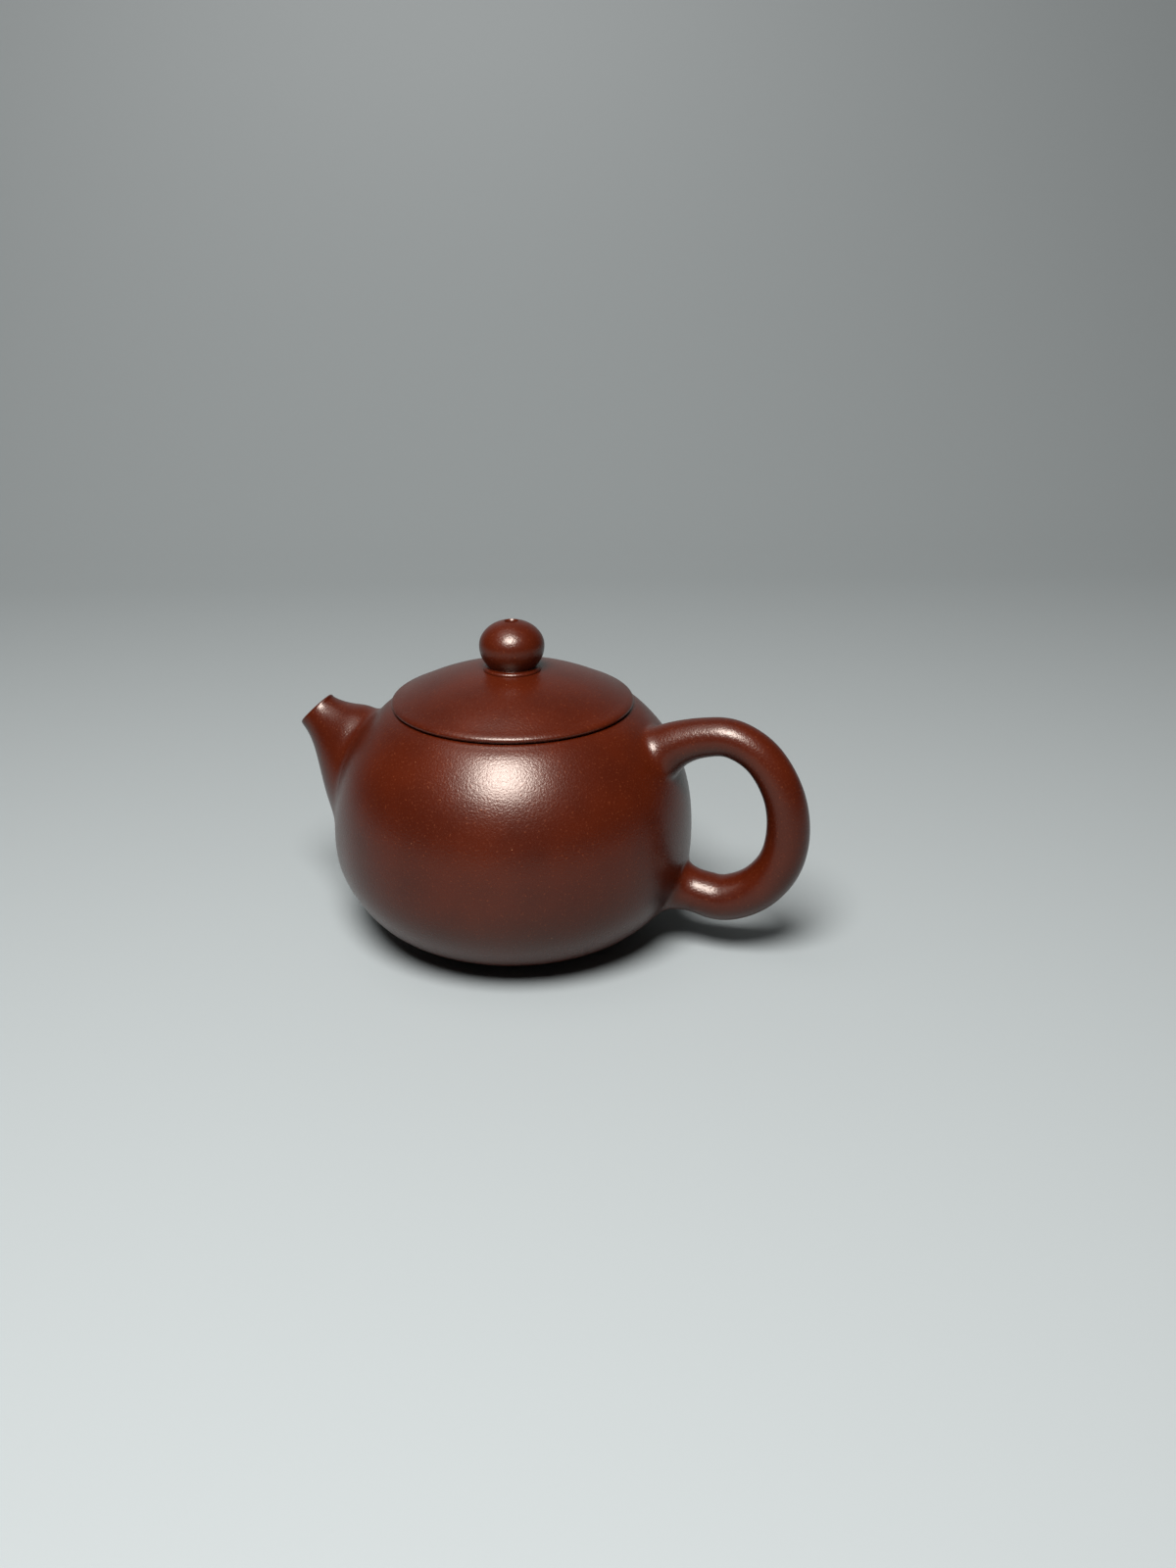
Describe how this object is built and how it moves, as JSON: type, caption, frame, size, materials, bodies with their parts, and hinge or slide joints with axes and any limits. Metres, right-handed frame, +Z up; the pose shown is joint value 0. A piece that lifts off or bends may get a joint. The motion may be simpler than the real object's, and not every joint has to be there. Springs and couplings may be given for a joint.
{
  "type": "yixing clay teapot",
  "caption": "Round unglazed clay teapot with a domed lid cut flush with the body, ball knob, short duck-bill spout and loop handle.",
  "frame": {"origin": "on the pot's axis, in the plane of the foot ring that the pot stands on", "axes": "+Z up along the pot's axis, -X towards the spout, +X towards the handle"},
  "size_m": [0.1332, 0.09, 0.0814],
  "materials": {
    "clay_body": "unglazed, burnished by use, satin",
    "clay_inner": "unglazed, matt",
    "clay_lid": "unglazed, burnished by use, satin"
  },
  "bodies": {
    "pot": {"body_wall": "clay_body", "shoulder": "clay_body", "base_slab": "clay_body", "mouth_ring": "clay_body", "spout": "clay_body", "strainer": "clay_inner", "handle": "clay_body"},
    "lid": {"lid_dome": "clay_lid", "lid_flange": "clay_lid", "knob": "clay_lid"}
  },
  "joints": [
    {"name": "lid_lift", "type": "slide", "parent": "pot", "child": "lid", "axis": [0, 0, 1], "range_m": [0, 0.06]}
  ]
}
